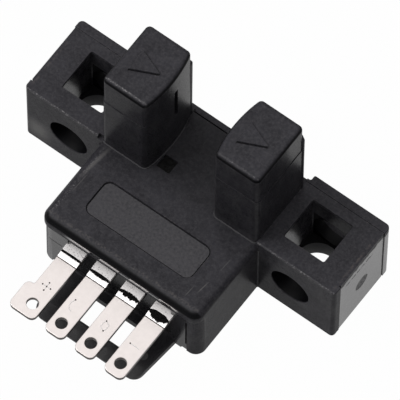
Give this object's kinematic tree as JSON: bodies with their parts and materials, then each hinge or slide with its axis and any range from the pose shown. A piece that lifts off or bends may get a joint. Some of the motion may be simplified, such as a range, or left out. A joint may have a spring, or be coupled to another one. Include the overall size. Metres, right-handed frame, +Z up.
{
  "type": "slotted optical switch",
  "caption": "U-shaped light barrier with two towers beside a sensing slot, mounting wings with crossed holes, and a front connector of flat solder terminals.",
  "frame": {"origin": "on the bottom face, midway between the two upright mounting holes", "axes": "+X along the mounting wings, +Y to the back cover, +Z up the towers"},
  "size_m": [0.026, 0.019, 0.0159],
  "materials": {
    "case_plastic": "fine matte moulded black",
    "cover_plastic": "fine matte moulded black",
    "base_plastic": "satin moulded black",
    "tinned_metal": "satin tin plate",
    "resin": "cast black resin",
    "board": "green solder mask",
    "clear_epoxy": "clear cast epoxy",
    "dark_epoxy": "daylight-blocking epoxy",
    "filter": "dark infrared filter",
    "smoked_lens": "smoked clear plastic",
    "chip": "black moulding compound",
    "ceramic": "fired ceramic"
  },
  "bodies": {
    "root": {"housing": "case_plastic", "rear_cover": "cover_plastic", "base": "base_plastic", "terminal_plus": "tinned_metal", "terminal_select": "tinned_metal", "terminal_out": "tinned_metal", "terminal_minus": "tinned_metal", "seal_resin": "resin", "circuit_board": "board", "ir_emitter": "clear_epoxy", "emitter_leads": "tinned_metal", "photo_detector": "dark_epoxy", "detector_leads": "tinned_metal", "emitter_window": "filter", "detector_window": "filter", "indicator_led": "clear_epoxy", "indicator_lens": "smoked_lens", "amplifier_chip": "chip", "output_transistor": "chip", "protection_diode": "chip", "emitter_resistor": "chip", "indicator_resistor": "chip", "bypass_capacitor": "ceramic"}
  },
  "joints": []
}
